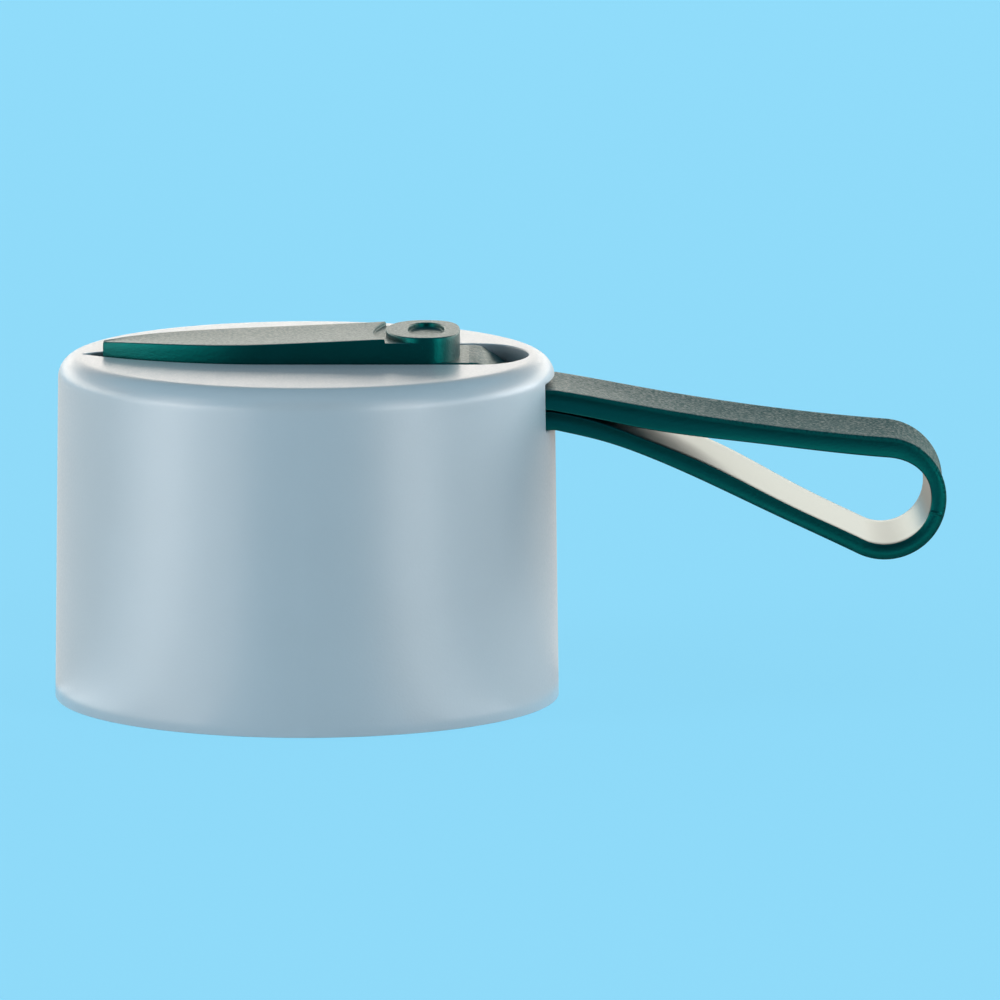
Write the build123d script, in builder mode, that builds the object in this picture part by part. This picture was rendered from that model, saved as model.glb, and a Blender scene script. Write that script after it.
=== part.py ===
"""Screw-on pouring cap for a drink bottle, with a flip lever and a carry loop.

The origin is the centre of the base rim, +Z runs up the cap's axis and +X points at the carry loop.
All lengths are in millimetres. A drop is a depth below the shell's top, a rise a height above it.
A setback is measured back from the well's +X end, a reach outwards from the shell's top edge.
"""

import os
from math import cos, radians, sin, sqrt, tan

from build123d import *

os.makedirs("parts", exist_ok=True)

# Outer shell: a slightly tapered cup, closed at the top
shell_base_radius = 25.0
shell_top_radius = 24.53
shell_height = 34.1
shell_wall = 1.8
shell_roof = 2.0
shell_edge_round = 2.2
shell_rim_chamfer = 0.3

# Spout well: the teardrop opening in the roof, pointed at -X and blunt at +X
well_tip_margin = 0.13
well_tip_land = 0.4
well_end_margin = 0.33
well_half_width = 7.1
well_taper_length = 18.7
well_end_radius = 9.0
well_corner_radius = 4.0

# Slot in the wall that the carry strap leaves through
strap_slot_drop = 2.2
strap_slot_side_gap = 0.15
strap_slot_under_gap = 0.05
strap_slot_corner = 0.3

# Stopper lever: a blade, a ledge and a dished button, with a tail that joins the hinge web
lever_side_gap = 0.9
lever_nose_gap = 2.1
lever_underside_drop = 1.6
nose_rise = 1.28
blade_middle = [(5.1, 1.56), (15.8, 1.82)]
blade_end_setback = 14.17
blade_end_rise = 2.36
blade_end_radius = 16.6
ledge_rise = 1.95
button_setback = 10.45
button_half_length = 3.65
button_rise = 2.5
dish_setback = 10.15
dish_length = 3.6
dish_width = 8.6
dish_depth = 0.5

# Stiffening core moulded inside the lever, with two pegs that carry the plugs
core_thickness = 1.0
core_cover = 0.9
core_side_cover = 1.5
core_end_setback = 9.4
peg_radius = 1.6
peg_length = 2.0
vent_peg_radius = 0.7
vent_peg_length = 1.5

# Hinge web: the thin fold line between the lever and the strap
hinge_setback = 4.85
band_thickness = 2.0
web_reach = 1.05
web_fold_thickness = 1.1
web_fold_width = 0.8

# Carry strap: the ramp below the hinge, the root block on its pin, and the loop
ramp_angle = 31.0
ramp_foot_setback = 0.55
strap_width = 12.8
strap_well_gap = 0.25
strap_exit = (0.17, 2.71)
root_bottom_drop = 6.7
root_start_setback = 4.8
root_ledge_drop = 3.3
upper_limb_top = [(9.62, 4.41), (19.07, 5.91)]
upper_limb_underside = [(19.07, 7.9), (8.47, 6.46), (3.57, 5.45)]
crease_reach = -0.33
crease_top_drop = 4.72
crease_bottom_drop = 4.84
lower_limb_inside = [(3.57, 5.58), (6.47, 6.3), (9.62, 7.65), (14.37, 9.8), (23.82, 14.5)]
lower_limb_underside = [(21.47, 15.0), (14.37, 11.6), (9.62, 9.51), (4.87, 7.81)]
loop_end = (32.57, 13.5)
loop_end_radius = 6.1
loop_top_thickness = 2.0
loop_end_thickness = 1.5
loop_top_slope = 4.3
loop_bottom_slope = 26.0

# Spout deck: the tub under the well, with the pouring hole, the air hole and the strap bay
deck_wall = 1.45
deck_step = 0.15
deck_fit = 0.15
deck_floor_drop = 4.6
deck_floor_thickness = 1.6
dam_thickness = 1.5
dam_clearance = 0.1
bay_floor_thickness = 1.5
ramp_lip_drop = 1.4
ramp_length = 10.0
ramp_fit = 0.1
spout_setback = 23.0
spout_bore_radius = 3.7
spout_tube_wall = 1.5
vent_setback = 10.5
vent_bore_radius = 0.9
vent_tube_wall = 1.5
tube_step = 0.4

# Plugs under the lever, each a cone that drops into a matching seat
plug_engagement = 1.0
plug_taper = 22.0
plug_seat_gap = 0.15
vent_plug_engagement = 0.8
vent_plug_taper = 45.0
vent_plug_gap = 0.2

# Anchor pin through the strap's root
anchor_setback = 2.4
anchor_drop = 4.8
anchor_pin_radius = 1.0
anchor_pin_fit = 0.03
anchor_pin_setback = 0.2
anchor_pin_chamfer = 0.2

# Deck screws, their ears on the deck and their bosses under the roof
screw_x = [-9.0, 12.0]
screw_y = 12.5
screw_shank_radius = 0.95
screw_hole_fit = 0.25
screw_head_radius = 2.0
screw_head_height = 1.5
screw_recess_depth = 0.8
screw_recess_length = 2.4
screw_recess_width = 0.5
screw_bite = 3.3
boss_radius = 2.6
ear_radius = 3.0

# Neck liner: the threaded socket that screws onto the bottle's neck
thread_depth = 1.0
thread_pitch = 4.0
thread_groove_width = 1.9
thread_flank_angle = 25.0
thread_top_z = 13.0
thread_lead_in = 1.0
thread_overcut = 0.3
liner_wall = 1.2
liner_air_gap = 0.54
liner_base_z = 0.4
liner_flange_height = 1.6
liner_mouth_chamfer = 0.6
liner_disc_z = 17.5
liner_disc_thickness = 1.6
liner_weld_gap = 0.05
collar_height = 2.4
collar_wall = 1.4
collar_fit = 0.15

# Seals
neck_gasket_thickness = 2.0
neck_gasket_land = 4.7
neck_gasket_grip = 0.6
neck_gasket_fit = 0.1
well_gasket_thickness = 0.8
o_ring_section_radius = 0.55
o_ring_rise = 0.9
o_ring_fit = 0.03

# Insulating disc between the liner and the deck
foam_gap = 0.2
foam_side_gap = 0.3


def shell_inner_radius(z):
    """Radius of the shell's inner wall at height z."""
    taper = (shell_top_radius - shell_base_radius) * z / shell_height
    return shell_base_radius + taper - shell_wall


def room_radius(low, high):
    """Radius of the widest round piece that fits in the shell between two heights."""
    return min(shell_inner_radius(low), shell_inner_radius(high))


# Places that follow from the sizes above
top = shell_height
roof_underside = top - shell_roof
deck_rim = roof_underside - well_gasket_thickness
deck_floor = top - deck_floor_drop
deck_underside = deck_floor - deck_floor_thickness
bay_floor = top - root_bottom_drop
bay_underside = bay_floor - bay_floor_thickness
lever_underside = top - lever_underside_drop
band_underside = top - band_thickness
flat_top_radius = shell_top_radius - shell_edge_round
roof_room_radius = room_radius(bay_underside, roof_underside)
# the well's tip stays on the flat top, and leaves the seal below it its land inside the shell's wall
well_tip_x = well_tip_margin - min(flat_top_radius, roof_room_radius - well_tip_land)
well_taper_x = well_tip_x + well_taper_length
well_end_x = flat_top_radius - well_end_margin
lever_half_width = well_half_width - lever_side_gap
lever_nose_x = well_tip_x + lever_nose_gap
blade_end_x = well_end_x - blade_end_setback
button_x = well_end_x - button_setback
dish_x = well_end_x - dish_setback
core_end_x = well_end_x - core_end_setback
spout_x = well_end_x - spout_setback
vent_x = well_end_x - vent_setback
hinge_x = well_end_x - hinge_setback
anchor_x = well_end_x - anchor_setback
root_start_x = well_end_x - root_start_setback
ramp_foot_x = well_end_x - ramp_foot_setback
web_start_x = hinge_x - web_reach
web_end_x = hinge_x + web_reach
dam_x = web_start_x - dam_thickness
bay_half_width = well_half_width + deck_step + deck_wall
strap_slot_width = strap_width + 2 * strap_slot_side_gap
spout_tube_radius = spout_bore_radius + spout_tube_wall
vent_tube_radius = vent_bore_radius + vent_tube_wall
tube_end_z = liner_disc_z + tube_step
liner_disc_top = liner_disc_z + liner_disc_thickness
screw_spots = [(x, side * screw_y) for x in screw_x for side in (-1, 1)]
beyond = 3 * shell_base_radius


def at(x, drop):
    """A point of the side view, given by its depth below the shell's top."""
    return (x, top - drop)


def outside(reach, drop):
    """A point of the side view, given by its reach beyond the shell's top edge and its depth."""
    return (shell_top_radius + reach, top - drop)


def unit(turn):
    """Unit vector at an angle, in degrees, from the side view's x axis."""
    return (cos(radians(turn)), sin(radians(turn)))


def ramp_at(x):
    """The point of the strap's ramp at x."""
    return at(x, (x - hinge_x) * tan(radians(ramp_angle)))


def well_outline(inset):
    """The well's teardrop, moved inwards by inset: two long arcs, two straight sides and a blunt end."""
    taper_run = well_taper_x - well_tip_x
    taper_radius = (taper_run**2 + well_half_width**2) / (2 * well_half_width)
    half = well_half_width - inset
    tip_run = sqrt((taper_radius - inset) ** 2 - (taper_radius - well_half_width) ** 2)
    end_centre = well_end_x - well_end_radius
    corner_y = well_half_width - well_corner_radius
    corner_reach = well_end_radius - well_corner_radius
    side_end_x = end_centre + sqrt(corner_reach**2 - corner_y**2)
    stretch = (well_end_radius - inset) / corner_reach
    corner_end = (end_centre + (side_end_x - end_centre) * stretch, corner_y * stretch)
    with BuildSketch() as outline:
        with BuildLine():
            TangentArc((well_taper_x, half), (well_taper_x - tip_run, 0), tangent=(-1, 0))
            Line((well_taper_x, half), (side_end_x, half))
            TangentArc((side_end_x, half), corner_end, tangent=(1, 0))
            mirror(about=Plane.XZ)
            ThreePointArc(corner_end, (well_end_x - inset, 0), (corner_end[0], -corner_end[1]))
        make_face()
    return outline.sketch


def half_plane(x, align):
    """A large square with one edge at x: Align.MIN keeps what lies beyond x, Align.MAX what lies before it."""
    with BuildSketch() as square:
        with Locations((x, 0)):
            Rectangle(2 * beyond, 2 * beyond, align=(align, Align.CENTER))
    return square.sketch


liner_outer_radius = room_radius(liner_base_z, liner_disc_top) - liner_air_gap
socket_radius = liner_outer_radius - liner_wall - thread_depth
well = well_outline(0)
well_inside_deck = well_outline(-deck_step)
well_around_deck = well_outline(-deck_step - deck_wall)

# Outer shell
with BuildPart() as outer_shell:
    with BuildSketch(Plane.XZ):
        with BuildLine():
            Polyline(
                (shell_inner_radius(0), 0),
                (shell_base_radius, 0),
                (shell_top_radius, top),
                (0, top),
                (0, roof_underside),
                (shell_inner_radius(roof_underside), roof_underside),
                close=True,
            )
        make_face()
    revolve(axis=Axis.Z)
    circles = outer_shell.edges().filter_by(GeomType.CIRCLE)
    fillet(circles.group_by(Axis.Z)[-1], shell_edge_round)
    chamfer(circles.group_by(Axis.Z)[0].sort_by(SortBy.RADIUS)[0], shell_rim_chamfer)
    with BuildSketch(Plane.XY.offset(roof_underside)):
        add(well)
    extrude(amount=shell_roof, mode=Mode.SUBTRACT)
    strap_slot_height = root_bottom_drop + strap_slot_under_gap - strap_slot_drop
    with BuildSketch(Plane.YZ.offset(well_end_x - shell_wall)):
        with Locations((0, top - strap_slot_drop - strap_slot_height / 2)):
            RectangleRounded(strap_slot_width, strap_slot_height, strap_slot_corner)
    extrude(amount=shell_base_radius, mode=Mode.SUBTRACT)
    with BuildSketch(Plane.XY.offset(deck_floor)):
        with Locations(*screw_spots):
            Circle(boss_radius)
    extrude(amount=roof_underside - deck_floor)
    with BuildSketch(Plane.XY.offset(deck_floor)):
        with Locations(*screw_spots):
            Circle(screw_shank_radius)
    extrude(amount=screw_bite, mode=Mode.SUBTRACT)

# Pouring ramp: the tongue of the deck that rises to a lip at the well's tip
with BuildPart() as pouring_ramp:
    with BuildSketch(Plane.XZ):
        with BuildLine():
            Polyline(
                (well_tip_x, deck_underside),
                (well_tip_x + ramp_length, deck_underside),
                (well_tip_x + ramp_length, deck_floor),
                at(well_tip_x, ramp_lip_drop),
                close=True,
            )
        make_face()
    extrude(amount=well_half_width, both=True)
    with BuildSketch(Plane.XY.offset(deck_underside)):
        add(well_outline(ramp_fit))
    extrude(amount=top - deck_underside, mode=Mode.INTERSECT)

# Spout deck
with BuildPart() as spout_deck:
    with BuildSketch(Plane.XY.offset(deck_underside)):
        add(well_around_deck)
    extrude(amount=deck_rim - deck_underside)
    with BuildSketch(Plane.XY.offset(bay_underside)):
        Rectangle(2 * beyond, 2 * bay_half_width)
        add(half_plane(dam_x, Align.MIN), mode=Mode.INTERSECT)
    extrude(amount=deck_rim - bay_underside)
    with BuildSketch(Plane.XY.offset(bay_underside)):
        Circle(roof_room_radius - deck_fit)
    extrude(amount=deck_rim - bay_underside, mode=Mode.INTERSECT)
    # the trough up to the dam, and behind it the bay that the strap's root sits in
    with BuildSketch(Plane.XY.offset(deck_floor)):
        add(well_inside_deck)
        add(half_plane(dam_x, Align.MAX), mode=Mode.INTERSECT)
    extrude(amount=deck_rim - deck_floor, mode=Mode.SUBTRACT)
    with BuildSketch(Plane.XY.offset(bay_floor)):
        add(well_inside_deck)
        Rectangle(2 * beyond, strap_slot_width)
        add(half_plane(web_start_x, Align.MIN), mode=Mode.INTERSECT)
    extrude(amount=deck_rim - bay_floor, mode=Mode.SUBTRACT)
    # the dam rises inside the well to just under the lever's tail
    with BuildSketch(Plane.XY.offset(deck_underside)):
        with Locations((dam_x, 0)):
            Rectangle(dam_thickness, 2 * lever_half_width, align=(Align.MIN, Align.CENTER))
    extrude(amount=band_underside - dam_clearance - deck_underside)
    add(pouring_ramp.part)
    # screw ears
    with BuildSketch(Plane.XY.offset(deck_underside)):
        with Locations(*screw_spots):
            Circle(ear_radius)
        with Locations(*[(x, 0) for x in screw_x]):
            Rectangle(2 * ear_radius, 2 * screw_y)
    extrude(amount=deck_floor_thickness)
    with BuildSketch(Plane.XY.offset(deck_underside)):
        with Locations(*screw_spots):
            Circle(screw_shank_radius + screw_hole_fit)
    extrude(amount=deck_floor_thickness, mode=Mode.SUBTRACT)
    # pouring tube and air tube, each with a groove for its O-ring
    with BuildSketch(Plane.XY.offset(tube_end_z)):
        with Locations((spout_x, 0)):
            Circle(spout_tube_radius)
        with Locations((vent_x, 0)):
            Circle(vent_tube_radius)
    extrude(amount=deck_underside - tube_end_z)
    with BuildSketch(Plane.XY.offset(tube_end_z)):
        with Locations((spout_x, 0)):
            Circle(spout_bore_radius)
        with Locations((vent_x, 0)):
            Circle(vent_bore_radius)
    extrude(amount=deck_floor - tube_end_z, mode=Mode.SUBTRACT)
    groove_depth = 2 * o_ring_section_radius - collar_fit + o_ring_fit
    with BuildSketch(Plane.XY.offset(liner_disc_z + o_ring_rise)):
        with Locations((spout_x, 0)):
            Circle(spout_tube_radius)
            Circle(spout_tube_radius - groove_depth, mode=Mode.SUBTRACT)
        with Locations((vent_x, 0)):
            Circle(vent_tube_radius)
            Circle(vent_tube_radius - groove_depth, mode=Mode.SUBTRACT)
    extrude(amount=2 * o_ring_section_radius, mode=Mode.SUBTRACT)
    # conical seats for the two plugs
    spout_seat_radius = spout_bore_radius + plug_engagement * tan(radians(plug_taper))
    with Locations((spout_x, 0, deck_floor - plug_engagement / 2)):
        Cone(spout_bore_radius, spout_seat_radius, plug_engagement, mode=Mode.SUBTRACT)
    vent_seat_radius = vent_bore_radius + vent_plug_engagement * tan(radians(vent_plug_taper))
    with Locations((vent_x, 0, deck_floor - vent_plug_engagement / 2)):
        Cone(vent_bore_radius, vent_seat_radius, vent_plug_engagement, mode=Mode.SUBTRACT)
    # holes for the anchor pin, through both cheeks of the bay
    with BuildSketch(Plane.XZ):
        with Locations(at(anchor_x, anchor_drop)):
            Circle(anchor_pin_radius + anchor_pin_fit)
    extrude(amount=beyond, both=True, mode=Mode.SUBTRACT)

# Gasket between the shell's roof and the deck's rim
with BuildPart() as well_gasket:
    with BuildSketch(Plane.XY.offset(deck_rim)):
        add(well_around_deck)
        Circle(roof_room_radius - deck_fit, mode=Mode.INTERSECT)
        add(well_inside_deck, mode=Mode.SUBTRACT)
        add(half_plane(web_start_x, Align.MAX), mode=Mode.INTERSECT)
    extrude(amount=well_gasket_thickness)

# Deck screws, driven up through the ears into the shell's bosses
with BuildPart() as deck_screws:
    with BuildSketch(Plane.XY.offset(deck_underside - screw_head_height)):
        with Locations(*screw_spots):
            Circle(screw_head_radius)
    extrude(amount=screw_head_height)
    with BuildSketch(Plane.XY.offset(deck_underside)):
        with Locations(*screw_spots):
            Circle(screw_shank_radius)
    extrude(amount=deck_floor_thickness + screw_bite)
    with BuildSketch(Plane.XY.offset(deck_underside - screw_head_height)):
        with Locations(*screw_spots):
            Rectangle(screw_recess_length, screw_recess_width)
            Rectangle(screw_recess_width, screw_recess_length)
    extrude(amount=screw_recess_depth, mode=Mode.SUBTRACT)

# Stiffening core of the lever
core_underside = lever_underside + core_cover
with BuildPart() as lever_core:
    with BuildSketch(Plane.XY.offset(core_underside)):
        add(well_outline(lever_side_gap + core_side_cover))
        add(half_plane(core_end_x, Align.MAX), mode=Mode.INTERSECT)
        add(half_plane(lever_nose_x + core_side_cover, Align.MIN), mode=Mode.INTERSECT)
    extrude(amount=core_thickness)
    with BuildSketch(Plane.XY.offset(core_underside)):
        with Locations((spout_x, 0)):
            Circle(peg_radius)
    extrude(amount=-core_cover - peg_length)
    with BuildSketch(Plane.XY.offset(core_underside)):
        with Locations((vent_x, 0)):
            Circle(vent_peg_radius)
    extrude(amount=-core_cover - vent_peg_length)

# Stopper lever
with BuildPart() as stopper_lever:
    with BuildSketch(Plane.XZ):
        with BuildLine():
            blade_top = Spline(
                at(lever_nose_x, -nose_rise),
                *[at(lever_nose_x + run, -rise) for run, rise in blade_middle],
                at(blade_end_x, -blade_end_rise),
            )
            Polyline(
                blade_top @ 1,
                at(blade_end_x, -button_rise),
                at(web_start_x, -button_rise),
                (web_start_x, lever_underside),
                (lever_nose_x, lever_underside),
                blade_top @ 0,
            )
        make_face()
    extrude(amount=lever_half_width, both=True)
    with BuildSketch(Plane.XY.offset(lever_underside)):
        add(well_outline(lever_side_gap))
        add(half_plane(lever_nose_x, Align.MIN), mode=Mode.INTERSECT)
        add(half_plane(button_x, Align.MAX), mode=Mode.INTERSECT)
        with Locations((button_x, 0)):
            Ellipse(button_half_length, lever_half_width)
    extrude(amount=top + button_rise - lever_underside, mode=Mode.INTERSECT)
    # the ledge between the blade's end and the button
    blade_end_sag = blade_end_radius - sqrt(blade_end_radius**2 - lever_half_width**2)
    with BuildSketch(Plane.XY.offset(top + ledge_rise)):
        with Locations((blade_end_x - blade_end_sag + blade_end_radius, 0)):
            Circle(blade_end_radius)
        with Locations((button_x, 0)):
            Ellipse(button_half_length, lever_half_width, mode=Mode.SUBTRACT)
    extrude(amount=button_rise, mode=Mode.SUBTRACT)
    with BuildSketch(Plane.XY.offset(top + button_rise)):
        with Locations((dish_x, 0)):
            SlotOverall(dish_width, dish_length, rotation=90)
    extrude(amount=-dish_depth, mode=Mode.SUBTRACT)
    # the tail, level with the shell's top
    with BuildSketch(Plane.XY.offset(top)):
        with Locations((button_x, 0)):
            Rectangle(web_start_x - button_x, 2 * lever_half_width, align=(Align.MIN, Align.CENTER))
    extrude(amount=-lever_underside_drop)
    with BuildSketch(Plane.XY.offset(top)):
        with Locations((dam_x, 0)):
            Rectangle(dam_thickness, 2 * lever_half_width, align=(Align.MIN, Align.CENTER))
    extrude(amount=-band_thickness)
    add(lever_core.part, mode=Mode.SUBTRACT)

# Spout plug, pushed onto the core's larger peg
with BuildPart() as spout_plug:
    plug_bottom = deck_floor - plug_engagement
    plug_height = lever_underside - plug_bottom
    plug_bottom_radius = spout_bore_radius - plug_seat_gap
    plug_top_radius = plug_bottom_radius + plug_height * tan(radians(plug_taper))
    with Locations((spout_x, 0, plug_bottom + plug_height / 2)):
        Cone(plug_bottom_radius, plug_top_radius, plug_height)
    with BuildSketch(Plane.XY.offset(lever_underside)):
        with Locations((spout_x, 0)):
            Circle(peg_radius)
    extrude(amount=-peg_length, mode=Mode.SUBTRACT)

# Vent plug, pushed onto the core's smaller peg
with BuildPart() as vent_plug:
    with BuildSketch(Plane.XY.offset(deck_floor)):
        with Locations((vent_x, 0)):
            Circle(vent_seat_radius - vent_plug_gap)
    extrude(amount=lever_underside - deck_floor)
    vent_tip_radius = vent_bore_radius - vent_plug_gap
    with Locations((vent_x, 0, deck_floor - vent_plug_engagement / 2)):
        Cone(vent_tip_radius, vent_seat_radius - vent_plug_gap, vent_plug_engagement)
    with BuildSketch(Plane.XY.offset(lever_underside)):
        with Locations((vent_x, 0)):
            Circle(vent_peg_radius)
    extrude(amount=-vent_peg_length, mode=Mode.SUBTRACT)

# Hinge web: flat behind the lever, sloping before the strap, thinned from below at the fold
ramp_thickness = band_thickness / cos(radians(ramp_angle))
web_end = ramp_at(web_end_x)
with BuildPart() as hinge_web:
    with BuildSketch(Plane.XZ):
        with BuildLine():
            Polyline(
                (web_start_x, top),
                (hinge_x, top),
                web_end,
                (web_end_x, web_end[1] - ramp_thickness),
                at(hinge_x + web_fold_width / 2, web_fold_thickness),
                at(hinge_x - web_fold_width / 2, web_fold_thickness),
                (web_start_x, band_underside),
                close=True,
            )
        make_face()
    extrude(amount=lever_half_width, both=True)

# Carry strap
with BuildPart() as carry_strap:
    with BuildSketch(Plane.XZ):
        loop_centre = Vector(*outside(*loop_end))
        top_turn = 90 - loop_top_slope
        bottom_turn = 270 - loop_bottom_slope
        with BuildLine():
            # outside: ramp, upper limb, loop end, lower limb, root block
            exit_point = outside(*strap_exit)
            Polyline(web_end, ramp_at(ramp_foot_x), exit_point)
            loop_start = loop_centre + loop_end_radius * Vector(*unit(top_turn))
            loop_finish = loop_centre + loop_end_radius * Vector(*unit(bottom_turn))
            Spline(exit_point, *[outside(*p) for p in upper_limb_top], loop_start)
            ThreePointArc(loop_start, loop_centre + Vector(loop_end_radius, 0), loop_finish)
            root_corner = (exit_point[0], bay_floor)
            Spline(loop_finish, *[outside(*p) for p in lower_limb_underside], root_corner)
            Polyline(
                root_corner,
                (root_start_x, bay_floor),
                at(root_start_x, root_ledge_drop),
                at(web_end_x, root_ledge_drop),
                web_end,
            )
        make_face()
        with BuildLine():
            # inside: the opening of the loop, down to the crease where the two limbs meet
            inner_radius = loop_end_radius - loop_end_thickness
            hole_top = loop_centre + (loop_end_radius - loop_top_thickness) * Vector(*unit(top_turn))
            hole_bottom = loop_centre + inner_radius * Vector(*unit(bottom_turn))
            crease_top = outside(crease_reach, crease_top_drop)
            crease_bottom = outside(crease_reach, crease_bottom_drop)
            Spline(hole_top, *[outside(*p) for p in upper_limb_underside], crease_top)
            Line(crease_top, crease_bottom)
            Spline(crease_bottom, *[outside(*p) for p in lower_limb_inside], hole_bottom)
            ThreePointArc(hole_top, loop_centre + Vector(inner_radius, 0), hole_bottom)
        make_face(mode=Mode.SUBTRACT)
        with Locations(at(anchor_x, anchor_drop)):
            Circle(anchor_pin_radius + anchor_pin_fit, mode=Mode.SUBTRACT)
    extrude(amount=strap_width / 2, both=True)
    # the ramp keeps clear of the well's rounded end where it passes through the roof
    with BuildSketch(Plane.XY.offset(top - strap_slot_drop)):
        Circle(shell_base_radius)
        add(well_outline(strap_well_gap), mode=Mode.SUBTRACT)
    extrude(amount=strap_slot_drop, mode=Mode.SUBTRACT)

# Anchor pin, which holds the strap's root in the bay
with BuildPart() as anchor_pin:
    with BuildSketch(Plane.XZ):
        with Locations(at(anchor_x, anchor_drop)):
            Circle(anchor_pin_radius)
    extrude(amount=bay_half_width - anchor_pin_setback, both=True)
    chamfer(anchor_pin.edges().filter_by(GeomType.CIRCLE), anchor_pin_chamfer)

# Thread groove: the helical space that the bottle's thread runs in
with BuildPart() as thread_groove:
    with BuildLine() as thread_path:
        thread_start_z = liner_base_z - thread_lead_in
        Helix(
            thread_pitch,
            thread_top_z - thread_start_z,
            socket_radius,
            center=(0, 0, thread_start_z),
        )
    thread_plane = Plane(thread_path.line @ 0, x_dir=(1, 0, 0), z_dir=thread_path.line % 0)
    with BuildSketch(thread_plane):
        flank = tan(radians(thread_flank_angle))
        mouth_half = thread_groove_width / 2 + thread_overcut * flank
        root_half = thread_groove_width / 2 - thread_depth * flank
        Polygon(
            (-thread_overcut, -mouth_half),
            (thread_depth, -root_half),
            (thread_depth, root_half),
            (-thread_overcut, mouth_half),
            align=None,
        )
    sweep(is_frenet=True)

# Neck liner
with BuildPart() as neck_liner:
    gasket_seat_radius = socket_radius + neck_gasket_grip
    gasket_seat_z = liner_disc_z - neck_gasket_thickness
    flange_top = liner_base_z + liner_flange_height
    flange_radius = room_radius(liner_base_z, flange_top) - liner_weld_gap
    with BuildSketch(Plane.XZ):
        with BuildLine():
            Polyline(
                (socket_radius + liner_mouth_chamfer, liner_base_z),
                (flange_radius, liner_base_z),
                (flange_radius, flange_top),
                (liner_outer_radius, flange_top),
                (liner_outer_radius, liner_disc_top),
                (0, liner_disc_top),
                (0, liner_disc_z),
                (gasket_seat_radius, liner_disc_z),
                (gasket_seat_radius, gasket_seat_z),
                (socket_radius, gasket_seat_z),
                (socket_radius, liner_base_z + liner_mouth_chamfer),
                close=True,
            )
        make_face()
    revolve(axis=Axis.Z)
    with BuildSketch(Plane.XY.offset(liner_disc_top)):
        with Locations((spout_x, 0)):
            Circle(spout_tube_radius + collar_fit + collar_wall)
        with Locations((vent_x, 0)):
            Circle(vent_tube_radius + collar_fit + collar_wall)
    extrude(amount=collar_height)
    with BuildSketch(Plane.XY.offset(liner_disc_z)):
        with Locations((spout_x, 0)):
            Circle(spout_tube_radius + collar_fit)
        with Locations((vent_x, 0)):
            Circle(vent_tube_radius + collar_fit)
    extrude(amount=liner_disc_thickness + collar_height, mode=Mode.SUBTRACT)
    add(thread_groove.part, mode=Mode.SUBTRACT)

# Neck gasket, snapped into the undercut at the top of the socket
with BuildPart() as neck_gasket:
    with BuildSketch(Plane.XY.offset(gasket_seat_z)):
        Circle(gasket_seat_radius - neck_gasket_fit)
        Circle(socket_radius - neck_gasket_land, mode=Mode.SUBTRACT)
    extrude(amount=neck_gasket_thickness)

# O-rings on the two tubes
o_ring_z = liner_disc_z + o_ring_rise + o_ring_section_radius
with BuildPart() as spout_o_ring:
    with Locations((spout_x, 0, o_ring_z)):
        Torus(spout_tube_radius - groove_depth + o_ring_section_radius, o_ring_section_radius)
with BuildPart() as vent_o_ring:
    with Locations((vent_x, 0, o_ring_z)):
        Torus(vent_tube_radius - groove_depth + o_ring_section_radius, o_ring_section_radius)

# Insulating disc
with BuildPart() as insulation_disc:
    foam_bottom = liner_disc_top + foam_gap
    foam_top = min(bay_underside, deck_underside - screw_head_height) - foam_gap
    with BuildSketch(Plane.XY.offset(foam_bottom)):
        Circle(room_radius(foam_bottom, foam_top) - foam_side_gap)
        with Locations((spout_x, 0)):
            Circle(spout_tube_radius + collar_fit + collar_wall + foam_gap, mode=Mode.SUBTRACT)
        with Locations((vent_x, 0)):
            Circle(vent_tube_radius + collar_fit + collar_wall + foam_gap, mode=Mode.SUBTRACT)
    extrude(amount=foam_top - foam_bottom)

parts = {
    "outer_shell": outer_shell,
    "spout_deck": spout_deck,
    "well_gasket": well_gasket,
    "deck_screws": deck_screws,
    "lever_core": lever_core,
    "stopper_lever": stopper_lever,
    "spout_plug": spout_plug,
    "vent_plug": vent_plug,
    "hinge_web": hinge_web,
    "carry_strap": carry_strap,
    "anchor_pin": anchor_pin,
    "neck_liner": neck_liner,
    "neck_gasket": neck_gasket,
    "spout_o_ring": spout_o_ring,
    "vent_o_ring": vent_o_ring,
    "insulation_disc": insulation_disc,
}
for name, piece in parts.items():
    piece.part.label = name
    export_step(piece.part, f"parts/{name}.step")
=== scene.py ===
from math import atan2, cos, pi, radians, sin

import bmesh
import bpy
import numpy as np
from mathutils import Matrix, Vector


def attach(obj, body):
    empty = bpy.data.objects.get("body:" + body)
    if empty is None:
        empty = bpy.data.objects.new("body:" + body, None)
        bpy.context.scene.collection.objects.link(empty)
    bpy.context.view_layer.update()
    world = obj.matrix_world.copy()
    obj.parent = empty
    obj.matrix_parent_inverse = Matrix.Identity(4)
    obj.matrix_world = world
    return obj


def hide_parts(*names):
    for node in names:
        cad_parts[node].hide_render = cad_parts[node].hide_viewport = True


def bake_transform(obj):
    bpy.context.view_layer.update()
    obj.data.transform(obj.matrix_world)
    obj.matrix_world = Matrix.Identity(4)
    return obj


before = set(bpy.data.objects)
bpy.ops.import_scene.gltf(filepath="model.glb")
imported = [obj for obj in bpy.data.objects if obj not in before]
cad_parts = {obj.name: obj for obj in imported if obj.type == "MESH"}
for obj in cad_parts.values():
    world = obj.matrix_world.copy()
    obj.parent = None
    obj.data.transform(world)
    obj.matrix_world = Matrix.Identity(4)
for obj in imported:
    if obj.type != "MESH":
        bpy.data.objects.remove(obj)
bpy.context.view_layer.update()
print("Frame loaded:", len(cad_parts), "nodes")

mm = 0.001  # the shapes below are worked out in millimetres and put into the meshes in metres
seamGap = 2e-7  # metres: points closer than this become one
shortestEdge = 1e-8  # metres: a shorter edge is dissolved

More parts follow.
